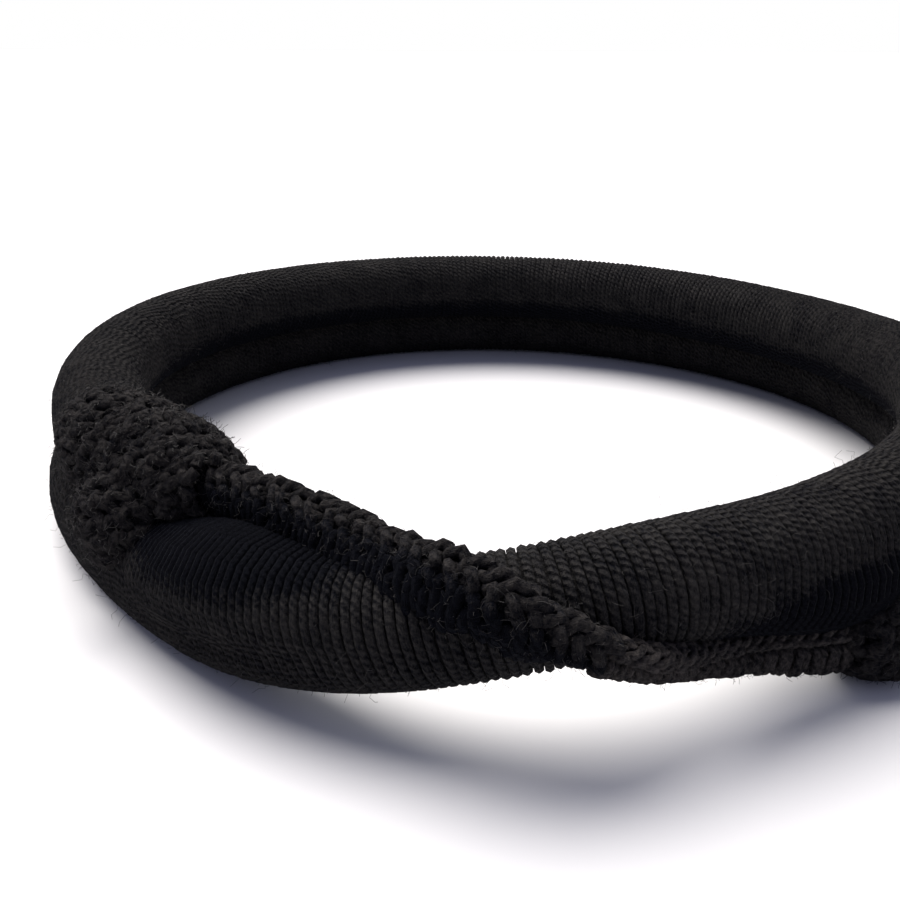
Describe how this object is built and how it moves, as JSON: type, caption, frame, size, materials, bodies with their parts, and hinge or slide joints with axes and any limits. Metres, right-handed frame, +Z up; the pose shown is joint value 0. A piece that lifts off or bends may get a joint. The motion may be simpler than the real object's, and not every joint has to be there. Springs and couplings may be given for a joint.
{
  "type": "igal head cord",
  "caption": "Padded black wool head cord wound into a ring of nearly two turns, its two ends in crocheted knots joined by a narrow crocheted band across the front.",
  "frame": {"origin": "on the surface that the ring lies on, under the middle of its box", "axes": "+Z up through the ring, -Y towards the front where the band crosses, +X to the right seen from the front"},
  "size_m": [0.2132, 0.2304, 0.0365],
  "materials": {
    "wound_wool": "black wool and goat-hair yarn wound tightly crosswise, matt, with fine stray hairs",
    "crocheted_wool": "the same black yarn crocheted in chunky stitches, matt and fuzzy"
  },
  "bodies": {
    "root": {"head_cord": "wound_wool", "upper_end_knot": "crocheted_wool", "lower_end_knot": "crocheted_wool", "crossing_band": "crocheted_wool"}
  },
  "joints": []
}
